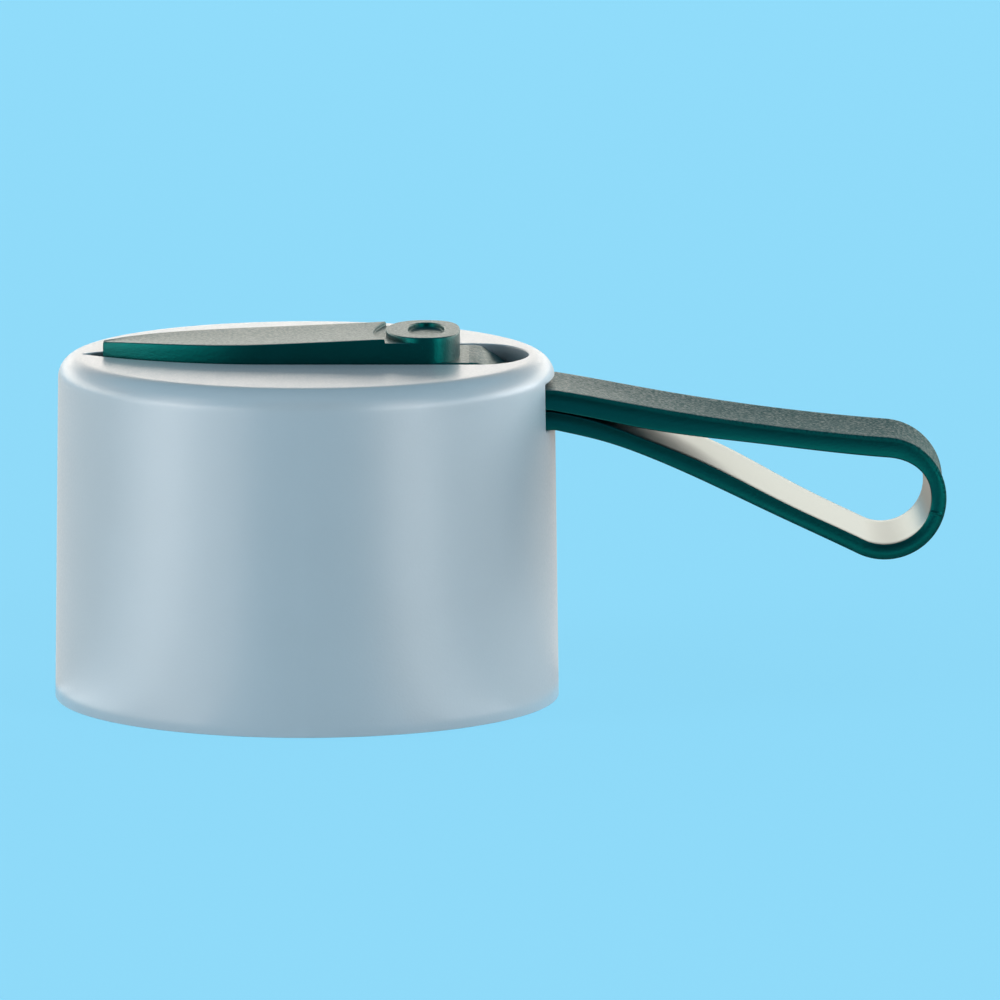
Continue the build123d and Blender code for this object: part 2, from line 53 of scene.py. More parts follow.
# What several pieces share. A drop is a depth below the shell's top, a rise a height above it.
cap = {
    "baseRadius": 25.0,
    "topRadius": 24.53,
    "top": 34.1,
    "wellHalfWidth": 7.1,
    "wellTipX": -22.2,
    "wellTaperX": -3.5,
    "wellEndX": 22.0,
    "wellEndRadius": 9.0,
    "wellCornerRadius": 4.0,
    "bandHalfWidth": 6.2,
    "hingeX": 17.15,
    "hingeReach": 1.05,
    "rampAngle": 31.0,
    "bandThickness": 2.0,
}
top = cap["top"]


def smoothStep(x, low, high):
    # 0 below low, 1 above high, and 3t^2 - 2t^3 between
    t = np.clip((x - low) / (high - low), 0, 1)
    return t * t * (3 - 2 * t)


def quarter(steps):
    # angles from 0 to a quarter turn
    return np.linspace(0, pi / 2, steps)


def gridQuads(rows, columns, closeRows=False, closeColumns=False):
    # a quad between neighbouring rows and columns; a closed direction joins its last line to its first
    r, c = np.meshgrid(
        np.arange(rows if closeRows else rows - 1),
        np.arange(columns if closeColumns else columns - 1),
        indexing="ij",
    )
    nextR, nextC = (r + 1) % rows, (c + 1) % columns
    corners = [r * columns + c, r * columns + nextC, nextR * columns + nextC, nextR * columns + c]
    return np.stack(corners, -1).reshape(-1, 4)


def outwards(points, quads):
    # a closed surface whose signed volume is negative is inside out, so its quads are reversed
    a, b, c, d = (points[quads[:, k]] for k in range(4))
    volume = np.einsum("ij,ij->i", a, np.cross(b, c)).sum() + np.einsum("ij,ij->i", a, np.cross(c, d)).sum()
    return quads if volume > 0 else quads[:, ::-1]


def surface(points, closeRows=False, closeColumns=False):
    # a grid of points (rows, columns, xyz) as a flat list of points and its quads
    rows, columns = points.shape[:2]
    flat = points.reshape(-1, 3)
    return flat, outwards(flat, gridQuads(rows, columns, closeRows, closeColumns))


def capped(rings):
    # a stack of closed rings, with each end drawn in to its middle so that the shape is closed
    first = np.broadcast_to(rings[0].mean(0), rings[0].shape)
    last = np.broadcast_to(rings[-1].mean(0), rings[-1].shape)
    return surface(np.concatenate([first[None], rings, last[None]]), closeColumns=True)


def makePiece(name, surfaces, material, hides, body="cap", marks=None, sharp=38):
    # joins the surfaces in one mesh, closes seams and poles, and shades it smooth but for corners of more
    # than sharp degrees; marks are values per point for the material, and a piece without a body is not
    # attached to one
    starts = np.cumsum([0] + [len(points) for points, quads in surfaces[:-1]])
    allPoints = np.concatenate([points for points, quads in surfaces]) * mm
    allQuads = np.concatenate([quads + start for (points, quads), start in zip(surfaces, starts)])
    mesh = bpy.data.meshes.new(name)
    mesh.from_pydata(allPoints, [], allQuads.tolist())
    for markName, values in (marks or {}).items():
        attribute = mesh.attributes.new(markName, "FLOAT", "POINT")
        attribute.data.foreach_set("value", np.asarray(values, np.float32).ravel())
    work = bmesh.new()
    work.from_mesh(mesh)
    bmesh.ops.remove_doubles(work, verts=work.verts, dist=seamGap)
    bmesh.ops.dissolve_degenerate(work, edges=work.edges, dist=shortestEdge)
    work.to_mesh(mesh)
    work.free()
    mesh.shade_smooth()
    mesh.set_sharp_from_angle(angle=radians(sharp))
    mesh.materials.append(material)
    piece = bpy.data.objects.new(name, mesh)
    bpy.context.scene.collection.objects.link(piece)
    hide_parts(*hides)
    if body:
        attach(piece, body)
    return piece


def smoothLine(knots, startTangent, endTangent, steps):
    # cubic spline through the knots by chord length, with the two end tangents held
    knots = np.asarray(knots, float)
    u = np.concatenate([[0], np.cumsum(np.linalg.norm(np.diff(knots, axis=0), axis=1))])
    h = np.diff(u)
    n = len(knots)
    matrix, right = np.zeros((n, n)), np.zeros((n, 2))
    matrix[0, 0] = matrix[-1, -1] = 1
    right[0] = np.asarray(startTangent) / np.linalg.norm(startTangent)
    right[-1] = np.asarray(endTangent) / np.linalg.norm(endTangent)
    slope = np.diff(knots, axis=0) / h[:, None]
    inner = np.arange(1, n - 1)
    matrix[inner, inner - 1] = h[1:]
    matrix[inner, inner] = 2 * (h[:-1] + h[1:])
    matrix[inner, inner + 1] = h[:-1]
    right[1:-1] = 3 * (slope[:-1] * h[1:, None] + slope[1:] * h[:-1, None])
    tangent = np.linalg.solve(matrix, right)
    s = np.linspace(0, u[-1], steps)
    k = np.clip(np.searchsorted(u, s, side="right") - 1, 0, n - 2)
    t = ((s - u[k]) / h[k])[:, None]
    step = h[k][:, None]
    return (
        (2 * t**3 - 3 * t**2 + 1) * knots[k]
        + (t**3 - 2 * t**2 + t) * step * tangent[k]
        + (3 * t**2 - 2 * t**3) * knots[k + 1]
        + (t**3 - t**2) * step * tangent[k + 1]
    )


def roundedPath(corners, reaches, steps):
    # corners (number, columns, xz): each inner corner gives way to a parabola that starts and ends one
    # reach away, or nearly half way to the next corner where that is less
    mostOfEdge = 0.45
    rows = [corners[:1]]
    t = np.linspace(0, 1, steps)[:, None, None]
    for before, corner, after, reach in zip(corners[:-2], corners[1:-1], corners[2:], reaches):
        if reach == 0:
            rows.append(corner[None])
            continue
        back, ahead = before - corner, after - corner
        backLength = np.linalg.norm(back, axis=1, keepdims=True) + 1e-9
        aheadLength = np.linalg.norm(ahead, axis=1, keepdims=True) + 1e-9
        begin = corner + back / backLength * np.minimum(reach, mostOfEdge * backLength)
        end = corner + ahead / aheadLength * np.minimum(reach, mostOfEdge * aheadLength)
        rows.append((1 - t) ** 2 * begin + 2 * t * (1 - t) * corner + t**2 * end)
    rows.append(corners[-1:])
    return np.concatenate(rows)


def wellOutline(inset, steps=3000):
    # half of the teardrop moved inwards by inset: a long arc from the tip, a straight side, a corner arc
    # and the end arc
    half = cap["wellHalfWidth"]
    run = cap["wellTaperX"] - cap["wellTipX"]
    longRadius = (run**2 + half**2) / (2 * half)
    centreY = half - longRadius
    tipTurn = np.arccos(-centreY / (longRadius - inset))
    turns = np.linspace(tipTurn, 0, steps // 2)
    longArc = np.stack(
        [
            cap["wellTaperX"] - (longRadius - inset) * np.sin(turns),
            centreY + (longRadius - inset) * np.cos(turns),
        ],
        1,
    )
    corner, end = cap["wellCornerRadius"], cap["wellEndRadius"]
    endX = cap["wellEndX"] - end
    cornerY = half - corner
    cornerX = endX + ((end - corner) ** 2 - cornerY**2) ** 0.5
    meet = atan2(cornerY, cornerX - endX)
    turns = np.linspace(pi / 2, meet, steps // 6)
    cornerArc = np.stack(
        [cornerX + (corner - inset) * np.cos(turns), cornerY + (corner - inset) * np.sin(turns)], 1
    )
    turns = np.linspace(meet, 0, steps // 6)
    endArc = np.stack([endX + (end - inset) * np.cos(turns), (end - inset) * np.sin(turns)], 1)
    sideX = np.linspace(cap["wellTaperX"], cornerX, steps // 3)
    side = np.stack([sideX, np.full_like(sideX, half - inset)], 1)
    return np.concatenate([longArc, side, cornerArc, endArc])


def wellRadius(angles, inset):
    # distance from the axis to the teardrop in each direction, read off its outline
    outline = wellOutline(inset)
    turn = np.arctan2(outline[:, 1], outline[:, 0])
    order = np.argsort(turn)
    return np.interp(np.abs(angles), turn[order], np.hypot(*outline[order].T))


def wellHalf(x, inset):
    # half width of the teardrop at x
    outline = wellOutline(inset)
    order = np.argsort(outline[:, 0])
    return np.interp(x, outline[order, 0], outline[order, 1])


def colour(hexCode):
    # sRGB hex to linear light
    values = [int(hexCode[k : k + 2], 16) / 255 for k in (1, 3, 5)]
    return tuple(v / 12.92 if v <= 0.04045 else ((v + 0.055) / 1.055) ** 2.4 for v in values) + (1.0,)


def shade(hexCode, share):
    # the same colour with its light multiplied by a share
    return tuple(share * v for v in colour(hexCode)[:3]) + (1,)


def perMetre(size):
    # texture scale for a feature of this size in millimetres
    return 1000 / size


def addNode(tree, kind, settings=None, links=None):
    # adds a node: a setting is a property or an input's value, and a link joins an output to an input
    node = tree.nodes.new(kind)
    for key, value in (settings or {}).items():
        if isinstance(key, str) and hasattr(node, key):
            setattr(node, key, value)
        else:
            node.inputs[key].default_value = value
    for key, output in (links or {}).items():
        tree.links.new(output, node.inputs[key])
    return node


def newMaterial(name):
    material = bpy.data.materials.new(name)
    material.use_nodes = True
    tree = material.node_tree
    tree.nodes.clear()
    return material, tree


def finishMaterial(tree, shader):
    addNode(tree, "ShaderNodeOutputMaterial", links={"Surface": shader.outputs[0]})


# ABS, or a like plastic, moulded in a spark-eroded tool: a fine satin grain that spreads reflections
# softly. The real grain is under a tenth of a millimetre, and is drawn at 0.26 mm so that it shows
def satinPlastic(name, hexCode, roughness, grain=0.26, grainDepth=0.009):
    material, tree = newMaterial(name)
    place = addNode(tree, "ShaderNodeTexCoord").outputs["Object"]
    fine = addNode(
        tree,
        "ShaderNodeTexNoise",
        {"Scale": perMetre(grain), "Detail": 1.5, "Roughness": 0.5},
        {"Vector": place},
    )
    broad = addNode(
        tree, "ShaderNodeTexNoise", {"Scale": perMetre(9), "Detail": 2.0}, {"Vector": place}
    )
    tint = addNode(
        tree,
        "ShaderNodeMix",
        {"data_type": "RGBA", 6: shade(hexCode, 0.96), 7: shade(hexCode, 1.03)},
        {0: broad.outputs["Fac"]},
    )
    polish = addNode(
        tree,
        "ShaderNodeMapRange",
        {"From Min": 0.35, "From Max": 0.65, "To Min": roughness + 0.06, "To Max": roughness - 0.04},
        {"Value": fine.outputs["Fac"]},
    )
    bump = addNode(
        tree,
        "ShaderNodeBump",
        {"Strength": 0.8, "Distance": grainDepth * mm},
        {"Height": fine.outputs["Fac"]},
    )
    shader = addNode(
        tree,
        "ShaderNodeBsdfPrincipled",
        {"IOR": 1.58},
        {"Base Color": tint.outputs[2], "Roughness": polish.outputs[0], "Normal": bump.outputs[0]},
    )
    finishMaterial(tree, shader)
    return material


# Thermoplastic elastomer moulded against a blasted tool: deep green, with a coarse matt grain on the
# faces that the hand meets, and smooth where the tool's core was polished; its pigment tints what it
# reflects head on. grainAttribute names the values per point that say how much of the grain a place has
def elastomer(name, hexCode, grainAttribute=None, smooth=0.3, matt=(0.52, 0.9), grain=0.3, depth=0.022):
    material, tree = newMaterial(name)
    place = addNode(tree, "ShaderNodeTexCoord").outputs["Object"]
    coarse = addNode(
        tree,
        "ShaderNodeTexNoise",
        {"Scale": perMetre(grain), "Detail": 2.0, "Roughness": 0.55},
        {"Vector": place},
    )
    cloud = addNode(tree, "ShaderNodeTexNoise", {"Scale": perMetre(2.6), "Detail": 2.0}, {"Vector": place})
    tint = addNode(
        tree,
        "ShaderNodeMix",
        {"data_type": "RGBA", 6: shade(hexCode, 0.8), 7: shade(hexCode, 1.25)},
        {0: cloud.outputs["Fac"]},
    )
    pits = addNode(
        tree,
        "ShaderNodeMapRange",
        {"From Min": 0.38, "From Max": 0.62},
        {"Value": coarse.outputs["Fac"]},
    )
    polish = addNode(
        tree,
        "ShaderNodeMapRange",
        {"To Min": matt[1], "To Max": matt[0]},
        {"Value": pits.outputs[0]},
    ).outputs[0]
    height = pits.outputs[0]
    if grainAttribute:
        # the roughness follows the share; the depth grows twice as fast and stops at a half
        share = addNode(tree, "ShaderNodeAttribute", {"attribute_name": grainAttribute}).outputs["Fac"]
        blend = {"data_type": "FLOAT", 2: smooth}
        polish = addNode(tree, "ShaderNodeMix", blend, {0: share, 3: polish}).outputs[0]
        double = addNode(tree, "ShaderNodeMath", {"operation": "MULTIPLY", 1: 2.0}, {0: share}).outputs[0]
        shallow = addNode(tree, "ShaderNodeMath", {"operation": "MINIMUM", 1: 0.5}, {0: double}).outputs[0]
        product = {"operation": "MULTIPLY"}
        height = addNode(tree, "ShaderNodeMath", product, {0: height, 1: shallow}).outputs[0]
    bump = addNode(
        tree, "ShaderNodeBump", {"Strength": 1.0, "Distance": depth * mm}, {"Height": height}
    )
    shader = addNode(
        tree,
        "ShaderNodeBsdfPrincipled",
        {"IOR": 1.5, "Specular IOR Level": 0.55, "Specular Tint": colour(finishes["sheen"])},
        {"Base Color": tint.outputs[2], "Roughness": polish, "Normal": bump.outputs[0]},
    )
    finishMaterial(tree, shader)
    return material


# Silicone rubber, compression moulded: even, slightly waxy
def silicone(name, hexCode):
    material, tree = newMaterial(name)
    place = addNode(tree, "ShaderNodeTexCoord").outputs["Object"]
    haze = addNode(tree, "ShaderNodeTexNoise", {"Scale": perMetre(0.8), "Detail": 3.0}, {"Vector": place})
    polish = addNode(
        tree, "ShaderNodeMapRange", {"To Min": 0.4, "To Max": 0.55}, {"Value": haze.outputs["Fac"]}
    )
    bump = addNode(
        tree, "ShaderNodeBump", {"Strength": 0.3, "Distance": 0.01 * mm}, {"Height": haze.outputs["Fac"]}
    )
    shader = addNode(
        tree,
        "ShaderNodeBsdfPrincipled",
        {"Base Color": colour(hexCode), "IOR": 1.41},
        {"Roughness": polish.outputs[0], "Normal": bump.outputs[0]},
    )
    finishMaterial(tree, shader)
    return material


# Closed-cell polyethylene foam, die cut: dull, with cells of a third of a millimetre
def cellFoam(name, hexCode):
    material, tree = newMaterial(name)
    place = addNode(tree, "ShaderNodeTexCoord").outputs["Object"]
    cells = addNode(tree, "ShaderNodeTexVoronoi", {"Scale": perMetre(0.35)}, {"Vector": place})
    bump = addNode(
        tree,
        "ShaderNodeBump",
        {"Strength": 0.6, "Distance": 0.08 * mm},
        {"Height": cells.outputs["Distance"]},
    )
    shader = addNode(
        tree,
        "ShaderNodeBsdfPrincipled",
        {"Base Color": colour(hexCode), "Roughness": 0.9},
        {"Normal": bump.outputs[0]},
    )
    finishMaterial(tree, shader)
    return material


# Stainless steel, cold headed and tumbled: bright, with faint scratches in all directions
def tumbledSteel(name, hexCode):
    material, tree = newMaterial(name)
    place = addNode(tree, "ShaderNodeTexCoord").outputs["Object"]
    scratches = addNode(
        tree, "ShaderNodeTexNoise", {"Scale": perMetre(0.3), "Detail": 5.0}, {"Vector": place}
    )
    polish = addNode(
        tree, "ShaderNodeMapRange", {"To Min": 0.22, "To Max": 0.42}, {"Value": scratches.outputs["Fac"]}
    )
    shader = addNode(
        tree,
        "ShaderNodeBsdfPrincipled",
        {"Base Color": colour(hexCode), "Metallic": 1.0},
        {"Roughness": polish.outputs[0]},
    )
    finishMaterial(tree, shader)
    return material


# sRGB colours of the finishes
finishes = {
    "shell": "#92A8B5",
    "band": "#02191E",
    "sheen": "#00FFF0",
    "plug": "#06504D",
    "deck": "#6E7478",
    "liner": "#C9CCCB",
    "core": "#B9BAB4",
    "seal": "#BDBFBC",
    "foam": "#DAD9D3",
    "steel": "#C4C5C6",
}
shellPlastic = satinPlastic("shell_satin_abs", finishes["shell"], roughness=0.32)
bandRubber = elastomer("band_elastomer", finishes["band"], grainAttribute="grain")
plugRubber = elastomer("plug_elastomer", finishes["plug"])
deckPlastic = satinPlastic("deck_satin_polypropylene", finishes["deck"], roughness=0.42)
linerPlastic = satinPlastic("liner_satin_polypropylene", finishes["liner"], roughness=0.34)
corePlastic = satinPlastic("core_glass_filled_nylon", finishes["core"], roughness=0.48)
sealRubber = silicone("seal_silicone", finishes["seal"])
discFoam = cellFoam("disc_cell_foam", finishes["foam"])
pinSteel = tumbledSteel("tumbled_stainless_steel", finishes["steel"])
print("Materials made:", len(bpy.data.materials))


# The outer shell. Lengths are in millimetres and turns in degrees, here and in the pieces below
shell = {
    "wall": 1.8,
    "roof": 2.0,
    "edgeRound": 2.2,
    "rimRound": 0.08,
    "rimChamfer": 0.3,
    "wellEdgeRound": 0.13,
    "slotHalfWidth": 6.55,
    "slotDrop": 2.2,
    "slotFloorDrop": 6.75,
    "slotEdgeRound": 0.2,
    "slotLevelDrop": 4.0,
    "straightTurns": (24.0, 50.0),
    "bossRadius": 2.6,
    "bossHole": 0.95,
    "bossChamfer": 0.2,
    "bossHoleChamfer": 0.15,
    "bossPlaces": [(-9.0, -12.5), (-9.0, 12.5), (12.0, -12.5), (12.0, 12.5)],
    "bossDrop": 4.6,
}


def shellWallRadius(z):
    # the cup's outside tapers evenly from the base to the top
    return cap["baseRadius"] + (cap["topRadius"] - cap["baseRadius"]) * z / top


def shellSurface():
    # a closed profile carried round the axis: up the outside, over the top to the teardrop, back under
    # the roof and down the inside; near the strap's slot the columns keep their distance from the plane
    # of symmetry
    columnStep = 0.5  # degrees
    slotSteps = 12
    turns = np.radians(np.arange(-180, 180, columnStep))
    levelRadius = shellWallRadius(top - shell["slotLevelDrop"])  # where the slot's width is measured
    slotTurn = np.arcsin(shell["slotHalfWidth"] / levelRadius)
    for side in (-1, 1):
        turns[np.argmin(np.abs(turns - side * slotTurn))] = side * slotTurn
    slotLow, slotHigh = top - shell["slotFloorDrop"], top - shell["slotDrop"]
    e = shell["slotEdgeRound"]
    # heights of the wall's rows, closer together at the slot's rounded lower edge
    wallRows = np.concatenate(
        [
            np.linspace(shell["rimRound"], slotLow - 3, 24),
            slotLow - np.array([1.5, 0.6, e, 0.62 * e, 0.3 * e, 0.1 * e]),
            np.linspace(slotLow, slotHigh, slotSteps),
        ]
    )
    roof = top - shell["roof"]
    bottomIn = shellWallRadius(0) - shell["wall"]
    outside = [(bottomIn, shell["rimChamfer"]), (bottomIn + shell["rimChamfer"], 0)]
    outside += [(cap["baseRadius"] - shell["rimRound"], 0)]
    outside += [
        (cap["baseRadius"] - shell["rimRound"] * (1 - sin(a)), shell["rimRound"] * (1 - cos(a)))
        for a in quarter(4)[1:-1]
    ]
    firstOuter = len(outside)
    outside += [(shellWallRadius(z), z) for z in wallRows]
    centre = cap["topRadius"] - shell["edgeRound"]
    high = top - shell["edgeRound"]
    wallTop = shellWallRadius(high)
    outside += [
        (centre + (wallTop - centre) * cos(a), high + shell["edgeRound"] * sin(a)) for a in quarter(15)[1:]
    ]
    outside = np.array(outside)
    rows = [np.stack([np.full_like(turns, r), np.full_like(turns, z)], 1) for r, z in outside]
    # the flat top, from the rounded edge in to the teardrop with the rows closer there, and the
    # teardrop's small rounded edge, which is smaller still where the tip nearly meets the shell's own
    # rounded edge
    well = wellRadius(turns, 0)
    gap = centre - well
    edgeShare, landingShare = 0.45, 0.4  # of the gap, where it is narrow
    edge = np.minimum(shell["wellEdgeRound"], edgeShare * gap)
    landing = np.minimum(wellRadius(turns, -shell["wellEdgeRound"]), centre - landingShare * gap)
    for f in (1 - np.linspace(1, 0, 12) ** 1.5)[1:]:
        rows.append(np.stack([centre + (landing - centre) * f, np.full_like(turns, top)], 1))
    for a in quarter(5)[1:]:
        rows.append(np.stack([well + (landing - well) * (1 - sin(a)), top - edge * (1 - cos(a))], 1))
    rows.append(np.stack([well, np.full_like(turns, (top + roof) / 2)], 1))
    rows.append(np.stack([well, np.full_like(turns, roof)], 1))
    innerTop = shellWallRadius(roof) - shell["wall"]
    for f in (0.5, 0.9):
        rows.append(np.stack([well + (innerTop - well) * f, np.full_like(turns, roof)], 1))
    firstInner = len(rows)
    for z in wallRows[::-1]:
        inside = np.full_like(turns, shellWallRadius(z) - shell["wall"])
        rows.append(np.stack([inside, np.full_like(turns, z)], 1))
    rows = np.array(rows)
    radius, height = rows[..., 0], rows[..., 1]
    # near the slot a column is as far from the plane of symmetry in the inner wall as in the outer one
    level = levelRadius * np.sin(turns)[None]
    straight = 1 - smoothStep(np.abs(np.degrees(turns)), *shell["straightTurns"])[None]
    inWall = (np.arange(len(rows)) >= firstInner)[:, None]
    shared = straight * inWall
    turn = turns[None] + shared * (np.arcsin(np.clip(level / radius, -1, 1)) - turns[None])
    # the slot's outer edge is rounded over
    outRow = np.arange(len(rows)) < len(outside)
    aside = np.abs(radius * np.sin(turn)) - shell["slotHalfWidth"]
    away = np.maximum(aside, np.maximum(slotLow - height, height - slotHigh))
    facing = (np.abs(turns)[None] < pi / 2) & outRow[:, None]
    away = np.where(facing, np.clip(away, 0, e), e)
    radius = radius - (e - np.sqrt(np.clip(e**2 - (e - away) ** 2, 0, None)))
    points = np.stack([radius * np.cos(turn), radius * np.sin(turn), height], -1)
    # the slot itself: its quads come out of both walls, and a band of quads joins the two openings
    rowCount, columnCount = points.shape[:2]
    quads = gridQuads(rowCount, columnCount, True, True)
    firstRow = firstOuter + len(wallRows) - slotSteps
    lastRow = firstRow + slotSteps - 1
    left = int(np.argmin(np.abs(turns + slotTurn)))
    right = int(np.argmin(np.abs(turns - slotTurn)))
    r, c = quads[:, 0] // columnCount, quads[:, 0] % columnCount
    inColumns = (c >= left) & (c < right)
    lowestInner = firstInner + len(wallRows) - 1
    innerOf = lambda row: lowestInner - (row - firstOuter)  # the inner row at an outer row's height
    outerCut = (r >= firstRow) & (r < lastRow) & inColumns
    innerCut = (r >= innerOf(lastRow)) & (r < innerOf(firstRow)) & inColumns
    quads = quads[~(outerCut | innerCut)]
    across = np.arange(left, right)
    upward = np.arange(firstRow, lastRow)
    number = lambda row, column: row * columnCount + column

    def lining(startRow, startColumn, endRow, endColumn):
        # quads through the wall, between neighbouring points of the outer and the inner opening
        outerEdge = [number(startRow, startColumn), number(endRow, endColumn)]
        innerEdge = [number(innerOf(endRow), endColumn), number(innerOf(startRow), startColumn)]
        return np.stack(outerEdge + innerEdge, 1)

    floor = lining(firstRow, across, firstRow, across + 1)
    ceiling = lining(lastRow, across, lastRow, across + 1)
    leftCheek = lining(upward, left, upward + 1, left)
    rightCheek = lining(upward, right, upward + 1, right)
    turnedOver = [0, 3, 2, 1]  # the ceiling and the left cheek face the other way
    whole = np.concatenate([quads, floor, ceiling[:, turnedOver], leftCheek[:, turnedOver], rightCheek])
    flat = points.reshape(-1, 3)
    return flat, outwards(flat, whole)


def turnedRings(profile, centre, steps=48):
    # a profile of radius and height carried round an upright axis at the centre
    turns = np.linspace(0, 2 * pi, steps, endpoint=False)
    profile = np.asarray(profile, float)
    x = centre[0] + profile[:, :1] * np.cos(turns)
    y = centre[1] + profile[:, :1] * np.sin(turns)
    return np.stack([x, y, np.broadcast_to(profile[:, 1:], x.shape)], -1)


bossLow, bossHigh = top - shell["bossDrop"], top - shell["roof"]
bossProfile = [
    (shell["bossHole"], bossHigh - shell["bossChamfer"]),
    (shell["bossHole"], bossLow + shell["bossHoleChamfer"]),
    (shell["bossHole"] + shell["bossHoleChamfer"], bossLow),
    (shell["bossRadius"] - shell["bossChamfer"], bossLow),
    (shell["bossRadius"], bossLow + shell["bossChamfer"]),
    (shell["bossRadius"], bossHigh),
    (shell["bossHole"] + shell["bossChamfer"], bossHigh),
]
bosses = [
    surface(turnedRings(bossProfile, place), closeRows=True, closeColumns=True)
    for place in shell["bossPlaces"]
]
outerShell = makePiece("shell_cup", [shellSurface()] + bosses, shellPlastic, ["outer_shell"])
print("Shell made:", len(outerShell.data.polygons), "faces")


# The stopper lever: a blade with a ledge at its end, the dished button on the ledge and the tail behind
# it. bladeRise gives the height of the blade's top line at some places along X
lever = {
    "noseX": -20.1,
    "sideGap": 0.9,
    "undersideDrop": 1.6,
    "bladeRise": [
        (-20.1, 1.28),
        (-15.0, 1.56),
        (-9.6, 1.67),
        (-4.3, 1.82),
        (1.3, 2.05),
        (4.3, 2.19),
        (7.83, 2.36),
    ],
    "bladeSlopes": (0.09, 0.05),
    "bladeEndX": 7.83,
    "bladeEndRadius": 16.6,
    "ledgeRise": 1.95,
    "noseReach": 0.2,
    "ledgeReaches": (0.14, 0.12, 0.1, 0.1),
    "edgeRound": 0.13,
    "sink": 0.08,
    "buttonX": 11.55,
    "buttonHalfLength": 3.65,
    "buttonHalfWidth": 6.2,
    "buttonRise": 2.5,
    "buttonFootDrop": 1.1,
    "buttonFrontPower": 2.15,
    "buttonRearPower": 2.7,
    "buttonEdgeRound": 0.16,
    "dishX": 11.85,
    "dishHalfLength": 1.8,
    "dishHalfWidth": 4.3,
    "dishPower": 2.3,
    "dishDepth": 0.5,
    "dishEdgeRound": 0.13,
    "dishDraft": 0.03,
    "dishFloorInsets": (0.6, 1.1),
    "faceGrain": 0.26,
    "sideGrain": 0.14,
}


def crossColumns(edge, acrossSteps=17, turnSteps=6):
    # columns from the left edge to the right: where each lies across the flat, how far it leans out past
    # the flat, and how far it drops in the rounded edge
    flat = np.linspace(-1, 1, acrossSteps)
    turns = quarter(turnSteps)[1:]
    across = np.concatenate([-np.ones(len(turns)), flat, np.ones(len(turns))])
    lean = edge * np.sin(turns)
    fall = edge * (1 - np.cos(turns))
    none = np.zeros(acrossSteps)
    out = np.concatenate([-lean[::-1], none, lean])
    drop = np.concatenate([fall[::-1], none, fall])
    return across, out, drop


def leverSections(path, halfWidth, bottomZ, edge, sideSteps=5):
    # path (rows, columns, xz) gives the top; each row becomes a closed section with rounded top edges,
    # plain sides and a flat underside. The top sinks by sink (1 - s^2) for a share s of the half width,
    # and less where it is within a millimetre of the underside
    across, out, drop = crossColumns(edge)
    sunk = lever["sink"] * (np.clip(1 - across**2, 0, 1)[None] * np.clip(path[..., 1] - bottomZ, 0, 1))
    x = path[..., 0]
    z = path[..., 1] - drop[None] - sunk
    y = across[None] * (halfWidth(x) - edge) + out[None]
    topPoints = np.stack([x, y, z], -1)
    down = np.linspace(0, 1, sideSteps + 1)[1:]
    rightSide = np.repeat(topPoints[:, -1:], sideSteps, axis=1)
    rightSide[..., 2] += (bottomZ - rightSide[..., 2]) * down
    leftSide = np.repeat(topPoints[:, :1], sideSteps, axis=1)
    leftSide[..., 2] += (bottomZ - leftSide[..., 2]) * down[::-1]
    return np.concatenate([topPoints, rightSide, leftSide], axis=1)


def leverBody():
    # the top follows the blade's line, steps down an arc to the ledge, and under the button to the tail
    edge = lever["edgeRound"]
    across, out = crossColumns(edge)[:2]
    y = across * (cap["bandHalfWidth"] - edge) + out
    radius = lever["bladeEndRadius"]
    arcMiddle = radius - (radius**2 - cap["bandHalfWidth"] ** 2) ** 0.5
    endX = lever["bladeEndX"] - arcMiddle + radius - np.sqrt(radius**2 - y**2)
    startSlope, endSlope = lever["bladeSlopes"]
    blade = smoothLine(lever["bladeRise"], (1, startSlope), (1, endSlope), 40)
    share = ((blade[:, 0] - blade[0, 0]) / (blade[-1, 0] - blade[0, 0]))[:, None]
    bladeX = blade[:1, 0] + (endX[None] - blade[0, 0]) * share
    bladeZ = np.interp(bladeX, blade[:, 0], blade[:, 1]) + top
    column = lambda x, z: np.stack([np.broadcast_to(x, y.shape), np.broadcast_to(z, y.shape)], -1)
    low = top - lever["undersideDrop"]
    ledge = top + lever["ledgeRise"]
    corners = [column(lever["noseX"], low), column(bladeX[0], bladeZ[0])]
    corners += [column(x, z) for x, z in zip(bladeX[1:], bladeZ[1:])]
    corners += [column(endX, ledge), column(lever["buttonX"], ledge), column(lever["buttonX"], top)]
    corners += [column(cap["hingeX"] - cap["hingeReach"], top)]
    reaches = [lever["noseReach"]] + [0] * (len(bladeX) - 2) + list(lever["ledgeReaches"])
    path = roundedPath(np.array(corners), reaches, 6)
    halfWidth = lambda x: np.minimum(wellHalf(x, lever["sideGap"]), cap["bandHalfWidth"])
    return leverSections(path, halfWidth, low, edge)


def eggOutline(centreX, halfLength, halfWidth, frontPower, rearPower, steps=192):
    # |x/a|^n + |y/b|^n = 1, with one power before the widest line and another behind it
    turns = np.linspace(0, 2 * pi, steps, endpoint=False)
    power = np.where(np.cos(turns) < 0, frontPower, rearPower)
    x = np.sign(np.cos(turns)) * np.abs(np.cos(turns)) ** (2 / power)
    y = np.sign(np.sin(turns)) * np.abs(np.sin(turns)) ** (2 / power)
    return np.stack([centreX + halfLength * x, halfWidth * y], 1)


